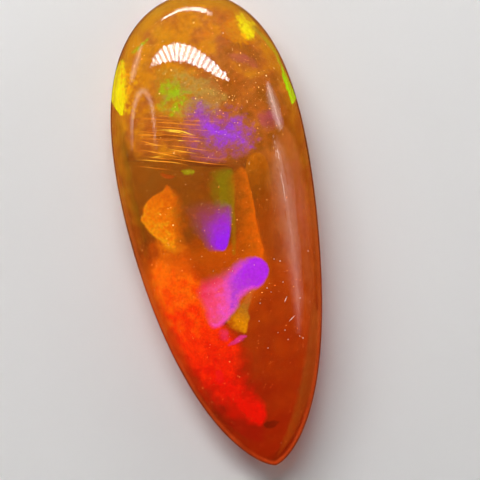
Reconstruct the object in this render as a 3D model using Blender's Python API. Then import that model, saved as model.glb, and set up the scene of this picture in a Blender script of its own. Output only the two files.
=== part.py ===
"""A long, pear-shaped opal cabochon: a smooth dome over a flat, polished base.

Run it with blender --background --python part.py, or from Blender's text editor.
The stone lies on its base, with its round end toward +Y and its pointed end toward -Y.
"""
import math

import bmesh
import bpy

# Driving dimensions, in metres.
LENGTH = 0.0200
WIDTH = 0.0081
HEIGHT = 0.0040
# The girdle is the widest level of the stone, where the dome meets the underside.
GIRDLE_HEIGHT = 0.0011
# How far the underside draws in between the girdle and the flat base.
UNDERCUT = 0.0005
# The narrow bevel that keeps the base's edge from chipping.
BASE_BEVEL = 0.00008
# The dome's highest point, measured from mid-length toward the round end.
APEX_OFFSET = 0.0015

# Shape of the outline. With all four at zero it would be an ellipse.
POINTEDNESS = 0.34
FULLER_ROUND_END = 0.057
FULLER_ENDS = 0.20
SIDEWAYS_BOW = -0.00023

# How finely the surface is divided.
SEGMENTS_AROUND = 96
RINGS_ON_DOME = 22
RINGS_UNDER_GIRDLE = 5
UNDERSIDE_SWEEP = math.radians(55)
BEVEL_SEGMENTS = 2
SHARP_ANGLE = math.radians(28)

OPAL_COLOUR = (0.42, 0.085, 0.012, 1.0)
OPAL_ROUGHNESS = 0.04
OPAL_METALLIC = 0.0
OPAL_TRANSMISSION = 0.6
OPAL_IOR = 1.44


def half_width_profile(angle, share):
    """Half width at an angle round the stone, before scaling.

    The angle is 0 at the pointed end and pi at the round end. The share is 1 at the girdle
    and 0 at the apex, where the rings turn into plain ellipses.
    """
    along = -math.cos(angle)
    pointed = abs(math.sin(angle / 2)) ** (POINTEDNESS * share)
    fullness = 1 + share * (FULLER_ROUND_END * along + FULLER_ENDS * along ** 2)
    return math.sin(angle) * pointed * fullness


def angles_around():
    return [2 * math.pi * step / SEGMENTS_AROUND for step in range(SEGMENTS_AROUND)]


WIDEST = max(half_width_profile(angle, 1.0) for angle in angles_around())


def ring_point(angle, share, inset=0.0):
    """A point of the ring at a share of the girdle's size, drawn in by an inset."""
    along = -math.cos(angle)
    x = share * (WIDTH / 2 - inset) * half_width_profile(angle, share) / WIDEST
    x += share * SIDEWAYS_BOW * (1 - along ** 2)
    y = share * (LENGTH / 2 - inset) * along + (1 - share) * APEX_OFFSET
    return x, y


GIRDLE_X = [ring_point(angle, 1.0)[0] for angle in angles_around()]
CENTRE_X = (min(GIRDLE_X) + max(GIRDLE_X)) / 2


def clear_scene():
    for item in list(bpy.data.objects):
        bpy.data.objects.remove(item)


def unit_blank():
    """Half a unit sphere on a short cylinder wall, closed by a flat cap at z = -1."""
    blank = bmesh.new()
    bmesh.ops.create_uvsphere(
        blank, u_segments=SEGMENTS_AROUND, v_segments=2 * RINGS_ON_DOME, radius=1.0)
    whole = blank.verts[:] + blank.edges[:] + blank.faces[:]
    bmesh.ops.bisect_plane(
        blank, geom=whole, dist=1e-5, plane_co=(0, 0, 0), plane_no=(0, 0, 1), clear_inner=True)
    rim = [edge for edge in blank.edges if edge.is_boundary]
    for _ in range(RINGS_UNDER_GIRDLE):
        extruded = bmesh.ops.extrude_edge_only(blank, edges=rim)["geom"]
        rim = [item for item in extruded if isinstance(item, bmesh.types.BMEdge)]
        for vertex in {corner for edge in rim for corner in edge.verts}:
            vertex.co.z -= 1 / RINGS_UNDER_GIRDLE
    rim = [edge for edge in blank.edges if edge.is_boundary]
    bmesh.ops.contextual_create(blank, geom=rim)
    return blank


def shape_stone(blank):
    """Move the blank's vertices onto the cabochon: dome above the girdle, underside below."""
    for vertex in blank.verts:
        angle = math.atan2(vertex.co.x, -vertex.co.y)
        if vertex.co.z > -1e-4:
            share = min(1.0, math.hypot(vertex.co.x, vertex.co.y))
            x, y = ring_point(angle, share)
            z = GIRDLE_HEIGHT + (HEIGHT - GIRDLE_HEIGHT) * max(0.0, vertex.co.z)
        else:
            turn = -vertex.co.z * UNDERSIDE_SWEEP
            inset = UNDERCUT * (1 - math.cos(turn)) / (1 - math.cos(UNDERSIDE_SWEEP))
            x, y = ring_point(angle, 1.0, inset)
            z = GIRDLE_HEIGHT * (1 - math.sin(turn) / math.sin(UNDERSIDE_SWEEP))
        vertex.co = (x - CENTRE_X, y, z)


def bevel_base_edge(stone):
    base = max(stone.faces, key=lambda face: len(face.verts))
    bmesh.ops.bevel(
        stone, geom=base.edges[:], offset=BASE_BEVEL, offset_type="OFFSET",
        segments=BEVEL_SEGMENTS, profile=0.5, affect="EDGES")


def opal_material():
    material = bpy.data.materials.new("opal")
    material.use_nodes = True
    shader = material.node_tree.nodes["Principled BSDF"]
    shader.inputs["Base Color"].default_value = OPAL_COLOUR
    shader.inputs["Roughness"].default_value = OPAL_ROUGHNESS
    shader.inputs["Metallic"].default_value = OPAL_METALLIC
    shader.inputs["Transmission Weight"].default_value = OPAL_TRANSMISSION
    shader.inputs["IOR"].default_value = OPAL_IOR
    return material


def make_cabochon(collection):
    stone = unit_blank()
    shape_stone(stone)
    bevel_base_edge(stone)
    bmesh.ops.recalc_face_normals(stone, faces=stone.faces[:])
    mesh = bpy.data.meshes.new("opal_cabochon")
    stone.to_mesh(mesh)
    stone.free()
    mesh.shade_smooth()
    mesh.set_sharp_from_angle(angle=SHARP_ANGLE)
    mesh.materials.append(opal_material())
    cabochon = bpy.data.objects.new("opal_cabochon", mesh)
    collection.objects.link(cabochon)
    return cabochon


def main():
    clear_scene()
    collection = bpy.data.collections.new("ethiopian_opal_cabochon")
    bpy.context.scene.collection.children.link(collection)
    make_cabochon(collection)


main()
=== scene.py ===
# %% [markdown]
# A long pear-shaped opal with a domed top, cut from honey-coloured, see-through rough. What makes it an
# opal is play of colour: patches of pure red, orange, yellow, green and violet light that hang at different
# depths inside the stone. This lesson builds the clear stone first, then looks into it the way light does,
# and hangs each patch of colour where a bent ray of sight meets it.

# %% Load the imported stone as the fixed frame
import math

import bmesh
import bpy
import numpy as np
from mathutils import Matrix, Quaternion, Vector
from mathutils.bvhtree import BVHTree


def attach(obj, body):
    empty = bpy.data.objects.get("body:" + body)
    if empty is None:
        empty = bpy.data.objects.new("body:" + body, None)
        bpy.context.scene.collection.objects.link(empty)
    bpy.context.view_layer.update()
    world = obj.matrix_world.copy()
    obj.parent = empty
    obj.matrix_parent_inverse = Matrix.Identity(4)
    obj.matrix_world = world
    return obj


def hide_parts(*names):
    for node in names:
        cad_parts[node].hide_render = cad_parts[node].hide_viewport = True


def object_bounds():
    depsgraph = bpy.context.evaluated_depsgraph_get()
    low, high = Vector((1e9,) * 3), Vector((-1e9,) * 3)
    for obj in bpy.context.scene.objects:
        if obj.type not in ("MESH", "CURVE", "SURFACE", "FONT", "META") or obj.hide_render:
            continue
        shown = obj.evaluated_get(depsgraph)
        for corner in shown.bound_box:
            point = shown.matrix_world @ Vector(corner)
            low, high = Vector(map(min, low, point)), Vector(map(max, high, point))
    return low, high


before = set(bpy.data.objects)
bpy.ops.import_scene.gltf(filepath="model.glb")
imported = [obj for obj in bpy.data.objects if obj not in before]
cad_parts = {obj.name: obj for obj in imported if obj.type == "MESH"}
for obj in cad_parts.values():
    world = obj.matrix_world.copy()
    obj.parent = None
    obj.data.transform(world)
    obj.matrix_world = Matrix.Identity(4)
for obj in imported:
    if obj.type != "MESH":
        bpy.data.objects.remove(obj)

cad_low, cad_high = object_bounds()
MM = 0.001
LENGTH = (cad_high[1] - cad_low[1]) / MM
WIDTH = (cad_high[0] - cad_low[0]) / MM
HEIGHT = (cad_high[2] - cad_low[2]) / MM
print("stone is", round(LENGTH, 2), "by", round(WIDTH, 2), "by", round(HEIGHT, 2), "mm")

# %% [markdown]
# Seen from above the stone is a drop with one round end and one pointed end, bowed slightly to one side,
# and every level of the dome is a smaller, rounder copy of that drop. It could be sculpted or subdivided
# from a box, but a formula for the half width at each angle gives a clean polished curve at any resolution.

# %% The drop outline and the dome over it
GIRDLE = 1.1
UNDERCUT = 0.5
BASE_BEVEL = 0.08
APEX_OFFSET = 1.5
POINTEDNESS = 0.34
FULLER_ROUND_END = 0.057
FULLER_ENDS = 0.20
SIDEWAYS_BOW = -0.23
UNDERSIDE_SWEEP = math.radians(55)
OUTLINE_STEPS = 96


def half_width(angle, share):
    along = -math.cos(angle)
    taper = abs(math.sin(angle / 2)) ** (POINTEDNESS * share)
    fuller = 1 + share * (FULLER_ROUND_END * along + FULLER_ENDS * along ** 2)
    return math.sin(angle) * taper * fuller


turns = [2 * math.pi * step / OUTLINE_STEPS for step in range(OUTLINE_STEPS)]
WIDEST = max(half_width(turn, 1.0) for turn in turns)


def drop_point(angle, share, inset=0.0):
    along = -math.cos(angle)
    bow = SIDEWAYS_BOW * (1 - along ** 2)
    across = share * (WIDTH / 2 - inset) * half_width(angle, share) / WIDEST + share * bow
    lengthwise = share * (LENGTH / 2 - inset) * along + (1 - share) * APEX_OFFSET
    return across, lengthwise


girdle_x = [drop_point(turn, 1.0)[0] for turn in turns]
CENTRE_X = (min(girdle_x) + max(girdle_x)) / 2
print("half width at the middle is", round(drop_point(math.pi / 2, 1.0)[0] - CENTRE_X, 3), "mm")

# %% [markdown]
# The polished body is one closed skin: a half ball pulled over the drop, a rounded underside that tucks in
# below the girdle, and a flat base with its edge just broken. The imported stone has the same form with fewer
# faces. A clear stone bends everything seen through it, so each small facet would show, and this body is
# made much finer than an opaque one would need. A short helper turns each finished skin into an object.

# %% Polish the stone body
AROUND = 256
DOME_RINGS = 64
UNDER_RINGS = 10
SHARP_EDGE = math.radians(28)


def put_in_scene(name, skin, finish=None):
    mesh = bpy.data.meshes.new(name)
    skin.to_mesh(mesh)
    skin.free()
    if finish:
        mesh.materials.append(finish)
    made = bpy.data.objects.new(name, mesh)
    bpy.context.scene.collection.objects.link(made)
    return made


def polished_stone(name):
    skin = bmesh.new()
    bmesh.ops.create_uvsphere(skin, u_segments=AROUND, v_segments=2 * DOME_RINGS, radius=1.0)
    everything = skin.verts[:] + skin.edges[:] + skin.faces[:]
    bmesh.ops.bisect_plane(skin, geom=everything, dist=1e-5, plane_co=(0, 0, 0),
                           plane_no=(0, 0, 1), clear_inner=True)
    rim = [edge for edge in skin.edges if edge.is_boundary]
    for _ in range(UNDER_RINGS):
        grown = bmesh.ops.extrude_edge_only(skin, edges=rim)["geom"]
        rim = [item for item in grown if isinstance(item, bmesh.types.BMEdge)]
        for vert in {vert for edge in rim for vert in edge.verts}:
            vert.co.z -= 1 / UNDER_RINGS
    bmesh.ops.contextual_create(skin, geom=[edge for edge in skin.edges if edge.is_boundary])
    for vert in skin.verts:
        angle = math.atan2(vert.co.x, -vert.co.y)
        if vert.co.z > -1e-4:
            x, y = drop_point(angle, min(1.0, math.hypot(vert.co.x, vert.co.y)))
            z = GIRDLE + (HEIGHT - GIRDLE) * max(0.0, vert.co.z)
        else:
            turn = -vert.co.z * UNDERSIDE_SWEEP
            x, y = drop_point(angle, 1.0, UNDERCUT * (1 - math.cos(turn)) / (1 - math.cos(UNDERSIDE_SWEEP)))
            z = GIRDLE * (1 - math.sin(turn) / math.sin(UNDERSIDE_SWEEP))
        vert.co = ((x - CENTRE_X) * MM, y * MM, z * MM)
    base = max(skin.faces, key=lambda face: len(face.verts))
    bmesh.ops.bevel(skin, geom=base.edges[:], offset=BASE_BEVEL * MM, offset_type="OFFSET",
                    segments=2, profile=0.5, affect="EDGES")
    bmesh.ops.recalc_face_normals(skin, faces=skin.faces[:])
    surface = BVHTree.FromBMesh(skin)
    body = put_in_scene(name, skin)
    body.data.shade_smooth()
    body.data.set_sharp_from_angle(angle=SHARP_EDGE)
    return body, surface


stone, stone_surface = polished_stone("polished_stone")
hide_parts("opal_cabochon")
pieces = [stone]
print("stone skin has", len(stone.data.polygons), "faces")

# %% [markdown]
# The photograph looks straight down on the stone, which leans a little to one side in it. Everything inside
# is given as (across, down) positions in a 480 by 480 picture, so two plain values turn picture
# positions into stone positions: the picture units per millimetre and the lean. The camera is set to the
# same view here, because the helpers below look into the stone from where it stands.

# %% Match the camera to the photograph
PICTURE = 480
UNITS_PER_MM = 23.965
LEAN = 0.1915
STONE_MIDDLE = (230.13, 230.0)
CAMERA_HEIGHT = 250.0


def from_picture(across, down):
    right = across - STONE_MIDDLE[0]
    below = down - STONE_MIDDLE[1]
    x = (right * math.cos(LEAN) - below * math.sin(LEAN)) / UNITS_PER_MM - CENTRE_X
    y = -(right * math.sin(LEAN) + below * math.cos(LEAN)) / UNITS_PER_MM
    return x, y


def to_picture(x, y):
    right = (x + CENTRE_X) * UNITS_PER_MM
    below = -y * UNITS_PER_MM
    across = STONE_MIDDLE[0] + right * math.cos(LEAN) + below * math.sin(LEAN)
    return across, STONE_MIDDLE[1] - right * math.sin(LEAN) + below * math.cos(LEAN)


lens = bpy.data.cameras.new("camera")
lens.sensor_width = 36
lens.lens = lens.sensor_width * CAMERA_HEIGHT * UNITS_PER_MM / PICTURE
lens.clip_start = 0.01
lens.dof.use_dof = False
camera = bpy.data.objects.new("camera", lens)
camera_x, camera_y = from_picture(PICTURE / 2, PICTURE / 2)
camera.location = (camera_x * MM, camera_y * MM, (CAMERA_HEIGHT + GIRDLE) * MM)
camera.rotation_euler = (0, 0, -LEAN)
bpy.context.scene.collection.objects.link(camera)
bpy.context.scene.camera = camera
bpy.context.view_layer.update()
print("camera stands over", round(camera_x, 2), round(camera_y, 2), "mm, lens", round(lens.lens), "mm")

# %% [markdown]
# Light bends as it enters the stone, so a flash seen at one place really lies a little further in, along
# the bent ray. Snell's law gives that ray: a line of sight meets the polish, turns towards the surface
# normal by the refractive index of opal, and is followed down to the depth wanted. Placing pieces by
# guesswork would let them swim away from where the photograph shows them. Near the thin rim the depth is
# held to a share of the height there, so that nothing comes out through the base.

# %% Look into the stone along a bent ray of sight
OPAL_IOR = 1.44
DEEPEST_SHARE = 0.72
eye = camera.location.copy()


def sight(across, down):
    x, y = from_picture(across, down)
    aim = (Vector((x * MM, y * MM, GIRDLE * MM)) - eye).normalized()
    hit, normal, _, _ = stone_surface.ray_cast(eye, aim)
    if hit is None:
        return None, None, None
    facing = -normal.dot(aim)
    slow = 1 / OPAL_IOR
    bent = slow * aim + (slow * facing - math.sqrt(1 - slow ** 2 * (1 - facing ** 2))) * normal
    return hit, normal, bent.normalized()


def inside(across, down, depth):
    hit, _, bent = sight(across, down)
    return None if hit is None else hit + bent * min(depth * MM, DEEPEST_SHARE * hit.z)


top_hit, _, top_ray = sight(*STONE_MIDDLE)
print("over the middle the polish is", round(top_hit.z / MM, 2), "mm up, and the ray tips",
      round(math.degrees(math.acos(-top_ray.z)), 1), "degrees")

# %% [markdown]
# A flash of opal colour is light thrown back by one thin layer of tiny stacked spheres, so each patch is a
# thin sheet that follows the dome at its own depth. Its outline is a short list of points, each with a
# third number that says how softly the edge dies away there: one side of a real flash is often crisp where
# a layer breaks off, and the other melts into the stone. The sheet carries two numbers per point for its
# finish: fade, from 0 at the rim to 1 inside, and sweep, how far it lies along the flash's own direction.
# Where an outline runs past the stone's own, the sheet's last points are drawn back to it and fade out
# there. A flash with a band is a ring: it keeps only that breadth inside its outline and dies away inward.

# %% Cut thin flash sheets inside the stone
SHEET_THICKNESS = 0.03
SILHOUETTE_HALVINGS = 5
CELL_MARGIN = 0.6
LEAST_SOFTNESS = 0.1
BAND_FALL = 1.6


def curve_between(corners, steps):
    before, here, after, beyond = corners
    spots = []
    for t in np.arange(steps) / steps:
        square = (2 * before - 5 * here + 4 * after - beyond) * t ** 2
        cube = (3 * here - before - 3 * after + beyond) * t ** 3
        spots.append(0.5 * (2 * here + (after - before) * t + square + cube))
    return spots


def rounded_loop(outline, steps=6):
    corners = np.array([outline[-1], *outline, *outline[:2]], float)
    spots = [curve_between(corners[place:place + 4], steps) for place in range(len(outline))]
    return np.concatenate(spots)


def distance_to_rim(spots, loop):
    starts = loop[:, :2]
    runs = np.roll(starts, -1, 0) - starts
    offsets = spots[:, None, :] - starts[None]
    along = np.clip((offsets * runs[None]).sum(2) / (runs ** 2).sum(1)[None], 0, 1)
    feet = starts[None] + along[..., None] * runs[None]
    gaps = np.linalg.norm(spots[:, None, :] - feet, axis=2)
    nearest = gaps.argmin(1)
    row = np.arange(len(spots))
    share = along[row, nearest]
    softness = loop[nearest, 2] * (1 - share) + np.roll(loop[:, 2], -1)[nearest] * share
    spot_y = spots[:, 1][:, None]
    ends = np.roll(starts, -1, 0)
    straddles = (ends[:, 1][None] > spot_y) != (starts[:, 1][None] > spot_y)
    steepness = (ends[:, 0] - starts[:, 0]) / (ends[:, 1] - starts[:, 1] + 1e-12)
    crossing = steepness[None] * (spot_y - starts[:, 1][None]) + starts[:, 0][None]
    within = (straddles & (spots[:, 0][:, None] < crossing)).sum(1) % 2 == 1
    return np.where(within, 1, -1) * gaps[row, nearest], feet[row, nearest], softness


def drawn_back(vert, spots, hits, depth):
    """Where the line from this point to a neighbour inside the stone crosses the stone's own outline."""
    for face in vert.link_faces:
        for near in face.verts:
            if hits[near.index] is None:
                continue
            kept = hits[near.index]
            inner, outer = 0.0, 1.0
            for _ in range(SILHOUETTE_HALVINGS):
                middle = (inner + outer) / 2
                found = inside(*(spots[near.index] * (1 - middle) + spots[vert.index] * middle), depth)
                if found is None:
                    outer = middle
                else:
                    inner, kept = middle, found
            return kept
    return None


def sheet_inside(name, outline, depth, finish, sweep, step, band, melt):
    loop = rounded_loop(outline)
    left, top = loop[:, :2].min(0) - step
    right, bottom = loop[:, :2].max(0) + step
    columns = int((right - left) / step) + 1
    rows = int((bottom - top) / step) + 1
    grid = bmesh.new()
    bmesh.ops.create_grid(grid, x_segments=columns, y_segments=rows, size=0.5)
    spots = np.array([(left + (vert.co.x + 0.5) * (right - left),
                       bottom - (vert.co.y + 0.5) * (bottom - top)) for vert in grid.verts])
    gap, foot, softness = distance_to_rim(spots, loop)
    fade = grid.verts.layers.float.new("fade")
    sweep_share = grid.verts.layers.float.new("sweep")
    start = np.array(sweep[0], float)
    run = np.array(sweep[1], float) - start
    grid.verts.index_update()
    spots = np.where(gap[:, None] > 0, spots, foot)
    margin = CELL_MARGIN * step
    needed = (gap >= -margin) & (gap <= (band + margin if band else np.inf))
    hits = [inside(*spot, depth) if wanted else None for spot, wanted in zip(spots, needed)]
    placed = [drawn_back(vert, spots, hits, depth) if wanted and hit is None else hit
              for vert, hit, wanted in zip(grid.verts, hits, needed)]
    spare = []
    for place, vert in enumerate(grid.verts):
        if placed[place] is None:
            spare.append(vert)
            continue
        vert.co = placed[place]
        if hits[place] is not None:
            vert[fade] = min(1.0, max(0.0, gap[place] / max(melt * softness[place], LEAST_SOFTNESS)))
        if band:
            vert[fade] = min(vert[fade], max(0.0, BAND_FALL * (1 - gap[place] / band)))
        vert[sweep_share] = float((spots[place] - start) @ run / (run @ run))
    bmesh.ops.delete(grid, geom=spare, context="VERTS")
    bmesh.ops.delete(grid, geom=[vert for vert in grid.verts if not vert.link_faces], context="VERTS")
    sheet = put_in_scene(name, grid, finish)
    thicken = sheet.modifiers.new("thickness", "SOLIDIFY")
    thicken.thickness = SHEET_THICKNESS * MM
    thicken.offset = -1
    pieces.append(sheet)
    print(name, "has", len(sheet.data.vertices), "points at", depth, "mm depth")

# %% [markdown]
# Every finish is wired from the same few nodes, so short helpers keep the recipes readable: one adds a node
# with its wires, and the others name the sums, blends, spreads and grains used most. Flash colours are
# given as a screen shows them, so one helper turns those into plain light.

# %% Short helpers for wiring finishes
def wire(tree, source, socket):
    if isinstance(source, bpy.types.NodeSocket):
        tree.links.new(source, socket)
    else:
        socket.default_value = source


def add_node(tree, kind, wires=(), **settings):
    made = tree.nodes.new(kind)
    for setting, value in settings.items():
        setattr(made, setting, value)
    for place, source in wires:
        wire(tree, source, made.inputs[place])
    return made


def maths(tree, operation, first, second, clamp=False):
    made = add_node(tree, "ShaderNodeMath", ((0, first), (1, second)), operation=operation, use_clamp=clamp)
    return made.outputs[0]


def blend(tree, amount, first, second):
    made = add_node(tree, "ShaderNodeMix", ((0, amount), (6, first), (7, second)), data_type="RGBA")
    return made.outputs[2]


def vector_maths(tree, operation, first, second):
    made = add_node(tree, "ShaderNodeVectorMath", ((0, first), (1, second)), operation=operation)
    return made.outputs[0]


def spread(tree, value, low, high, out_low=0.0, out_high=1.0, shape="LINEAR"):
    made = add_node(tree, "ShaderNodeMapRange", interpolation_type=shape)
    for place, source in enumerate((value, low, high, out_low, out_high)):
        wire(tree, source, made.inputs[place])
    return made.outputs[0]


def grain(tree, size, detail=2.0):
    place = add_node(tree, "ShaderNodeTexCoord").outputs["Object"]
    scale = maths(tree, "DIVIDE", 1.0 / MM, size)
    noise = add_node(tree, "ShaderNodeTexNoise", (("Vector", place), ("Scale", scale), ("Detail", detail)))
    return spread(tree, noise.outputs[0], 0.3, 0.7)


def new_group(name, inputs, outputs):
    tree = bpy.data.node_groups.new(name, "ShaderNodeTree")
    for label, kind, value in inputs:
        socket = tree.interface.new_socket(name=label, in_out="INPUT", socket_type=kind)
        socket.default_value = value
    for label, kind in outputs:
        tree.interface.new_socket(name=label, in_out="OUTPUT", socket_type=kind)
    given = tree.nodes.new("NodeGroupInput").outputs
    result = tree.nodes.new("NodeGroupOutput").inputs
    return tree, given, result


def use_group(tree, group, **inputs):
    made = tree.nodes.new("ShaderNodeGroup")
    made.node_tree = group
    for label, source in inputs.items():
        wire(tree, source, made.inputs[label.replace("_", " ")])
    return made


def new_finish(name):
    finish = bpy.data.materials.new(name)
    finish.use_nodes = True
    return finish, finish.node_tree, finish.node_tree.nodes["Principled BSDF"]


COLOUR = "NodeSocketColor"
NUMBER = "NodeSocketFloat"
VECTOR = "NodeSocketVector"


def light(red, green, blue):
    """Turn a colour as a screen shows it, 0 to 255, into the plain light that a shader adds up."""
    parts = [part / 255 for part in (red, green, blue)]
    return tuple(((part + 0.055) / 1.055) ** 2.4 if part > 0.04045 else part / 12.92 for part in parts)


print("amber looks like", [round(part, 3) for part in light(229, 127, 40)], "as plain light")

# %% [markdown]
# In a real flash the colour shifts across the patch as the layer turns to the light, and a fine grain
# jitters both hue and brightness. One shared effect gives that: three colours along the sweep, nudged by
# grain.

# %% The play of colour across a flash
play_of_colour, given, result = new_group(
    "play of colour",
    (("Start", COLOUR, (1, 0, 0, 1)), ("Middle", COLOUR, (1, 0, 0, 1)), ("End", COLOUR, (1, 0, 0, 1)),
     ("Grain Size", NUMBER, 0.2), ("Speckle Size", NUMBER, 0.06), ("Drift", NUMBER, 0.2),
     ("Dapple", NUMBER, 0.3)),
    (("Colour", COLOUR),))
tree = play_of_colour
sweep = add_node(tree, "ShaderNodeAttribute", attribute_name="sweep").outputs["Fac"]
coarse = grain(tree, given["Grain Size"])
nudge = maths(tree, "MULTIPLY", maths(tree, "SUBTRACT", coarse, 0.5), given["Drift"])
reach = maths(tree, "ADD", sweep, nudge)
first_half = blend(tree, spread(tree, reach, 0.0, 0.5), given["Start"], given["Middle"])
whole = blend(tree, spread(tree, reach, 0.5, 1.0), first_half, given["End"])
fine = grain(tree, given["Speckle Size"], 3.0)
dimming = maths(tree, "MULTIPLY", fine, given["Dapple"])
brightness = maths(tree, "SUBTRACT", 1.0, dimming)
dappled = add_node(tree, "ShaderNodeVectorMath", ((0, whole), (3, brightness)), operation="SCALE")
tree.links.new(dappled.outputs[0], result["Colour"])
print("play of colour takes", [socket.name for socket in given if socket.name])

# %% [markdown]
# The same grain decides how a flash ends: its rim breaks up into flecks before it dies away, its body can
# be patchy, and it can be denser at one end of the sweep than at the other. A line of sight crosses both
# faces of a thin sheet, so the last step gives each face the part that makes the pair cover as much as is
# wanted.

# %% The broken, melting edge of a flash
CLOUD_TO_FLECK = 2.6
EDGE_CURVE = 1.3
melting_edge, given, result = new_group(
    "melting edge",
    (("Grain Size", NUMBER, 0.2), ("Ragged", NUMBER, 0.5), ("Patchy", NUMBER, 0.2),
     ("Start Density", NUMBER, 1.0), ("End Density", NUMBER, 1.0)),
    (("Density", NUMBER),))
tree = melting_edge
fade = add_node(tree, "ShaderNodeAttribute", attribute_name="fade").outputs["Fac"]
sweep = add_node(tree, "ShaderNodeAttribute", attribute_name="sweep").outputs["Fac"]
flecks = grain(tree, given["Grain Size"], 3.0)
clouds = grain(tree, maths(tree, "MULTIPLY", given["Grain Size"], CLOUD_TO_FLECK))
mixed = maths(tree, "MULTIPLY", maths(tree, "ADD", flecks, clouds), 0.5)
lifted = maths(tree, "MULTIPLY", fade, maths(tree, "ADD", given["Ragged"], 1.0))
eaten = maths(tree, "SUBTRACT", lifted, maths(tree, "MULTIPLY", flecks, given["Ragged"]))
rim = maths(tree, "POWER", spread(tree, eaten, 0.0, 1.0), EDGE_CURVE)
thinning = maths(tree, "SUBTRACT", 1.0, maths(tree, "MULTIPLY", mixed, given["Patchy"]))
density = spread(tree, sweep, 0.0, 1.0, given["Start Density"], given["End Density"])
cover = maths(tree, "MULTIPLY", maths(tree, "MULTIPLY", rim, thinning), density, clamp=True)
one_face = maths(tree, "SUBTRACT", 1.0, maths(tree, "SQRT", maths(tree, "SUBTRACT", 1.0, cover), 0.0))
tree.links.new(one_face, result["Density"])
print("melting edge takes", [socket.name for socket in given if socket.name])

# %% [markdown]
# Milky or tinted clouds hang here and there in the rough. A soft ball of influence, placed in millimetres
# and broken up by grain, can tint the body wherever such a cloud lies.

# %% A soft cloud in the stone
soft_cloud, given, result = new_group(
    "soft cloud",
    (("Centre", VECTOR, (0, 0, 0)), ("Reach", VECTOR, (1, 1, 1)), ("Break Up", NUMBER, 0.5),
     ("Strength", NUMBER, 1.0)),
    (("Cloud", NUMBER),))
tree = soft_cloud
place = add_node(tree, "ShaderNodeTexCoord").outputs["Object"]
in_mm = add_node(tree, "ShaderNodeVectorMath", ((0, place), (3, 1 / MM)), operation="SCALE").outputs[0]
away = vector_maths(tree, "SUBTRACT", in_mm, given["Centre"])
scaled = vector_maths(tree, "DIVIDE", away, given["Reach"])
far = add_node(tree, "ShaderNodeVectorMath", ((0, scaled),), operation="LENGTH").outputs["Value"]
wisps = maths(tree, "MULTIPLY", grain(tree, 0.5, 3.0), given["Break Up"])
near = spread(tree, maths(tree, "ADD", far, wisps), 1.0, 0.0, shape="SMOOTHSTEP")
tree.links.new(maths(tree, "MULTIPLY", near, given["Strength"]), result["Cloud"])
print("soft cloud takes", [socket.name for socket in given if socket.name])

# %% [markdown]
# The stone itself is clear honey: full transmission with the refractive index of opal, and a volume that
# absorbs blue strongly and green somewhat, so thick parts glow deeper than thin ones. A painted amber skin
# would hide the depth. The skin only carries a light tint from golden at the round end to red at the point,
# with a ruddy mottle and milky pink and greenish clouds, because each ray of light is tinted by it once on
# its way in or out.

# %% Give the body its honey-clear finish
TINT_STOPS = (
    (-10.0, (0.82, 0.24, 0.07)),
    (-6.0, (0.86, 0.30, 0.08)),
    (-2.0, (0.86, 0.46, 0.09)),
    (1.0, (0.86, 0.60, 0.10)),
    (4.0, (0.92, 0.74, 0.14)),
    (10.0, (0.97, 0.86, 0.20)),
)
ABSORBED_TINT = (0.93, 0.68, 0.05)
ABSORPTION = 500.0
POLISH = 0.012
CLEARNESS = 0.95
TINT_WAVER = 0.05
HALF_LENGTH = 10
CLOUD_HEIGHT = 3.0
CLOUD_DEPTH = 4.0
RUDDY = (1.0, 0.80, 0.7)


def cloud_at(across, down, reach_mm, strength):
    centre = (*from_picture(across, down), CLOUD_HEIGHT)
    return {"Centre": centre, "Reach": (*reach_mm, CLOUD_DEPTH), "Strength": strength}


honey, tree, shader = new_finish("honey_clear_opal")
place = add_node(tree, "ShaderNodeTexCoord").outputs["Object"]
lengthwise = add_node(tree, "ShaderNodeSeparateXYZ", ((0, place),)).outputs["Y"]
waver = spread(tree, grain(tree, 2.5), 0.0, 1.0, -TINT_WAVER, TINT_WAVER)
along = maths(tree, "ADD", spread(tree, lengthwise, -HALF_LENGTH * MM, HALF_LENGTH * MM), waver)
ramp = add_node(tree, "ShaderNodeValToRGB", ((0, along),))
stops = ramp.color_ramp.elements
stops[0].color = (*TINT_STOPS[0][1], 1)
stops[-1].color = (*TINT_STOPS[-1][1], 1)
for level, tint in TINT_STOPS[1:-1]:
    stops.new((level + HALF_LENGTH) / (2 * HALF_LENGTH)).color = (*tint, 1)
skin_tint = ramp.outputs[0]
clouds = (
    (cloud_at(208, 34, (1.6, 1.9), 0.75), (0.97, 0.55, 0.42, 1)),
    (cloud_at(208, 92, (1.4, 1.6), 0.7), (0.80, 0.86, 0.26, 1)),
    (cloud_at(270, 118, (1.0, 0.9), 0.7), (0.95, 0.42, 0.40, 1)),
    (cloud_at(300, 205, (0.9, 3.6), 0.8), (0.95, 0.52, 0.34, 1)),
)
for cloud, tint in clouds:
    mask = use_group(tree, soft_cloud, **cloud).outputs["Cloud"]
    skin_tint = blend(tree, mask, skin_tint, tint)
mottle = grain(tree, 0.7, 3.0)
skin_tint = blend(tree, mottle, skin_tint, vector_maths(tree, "MULTIPLY", skin_tint, RUDDY))
tree.links.new(skin_tint, shader.inputs["Base Color"])
shader.inputs["Roughness"].default_value = POLISH
shader.inputs["IOR"].default_value = OPAL_IOR
shader.inputs["Transmission Weight"].default_value = CLEARNESS
honey_look = (("Color", (*ABSORBED_TINT, 1)), ("Density", ABSORPTION))
absorb = add_node(tree, "ShaderNodeVolumeAbsorption", honey_look)
tree.links.new(absorb.outputs[0], tree.nodes["Material Output"].inputs["Volume"])
stone.data.materials.append(honey)
print("body clouds:", len(clouds), "and tint stops:", len(TINT_STOPS))

# %% [markdown]
# A flash must look right from outside, after the honey in front has taken its share. So its colour is
# chosen as it should be seen, and divided by what the polish, the skin tint and the honey down to its depth
# let through. Violet needs this most, since almost all of its blue is swallowed on the way out.

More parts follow.
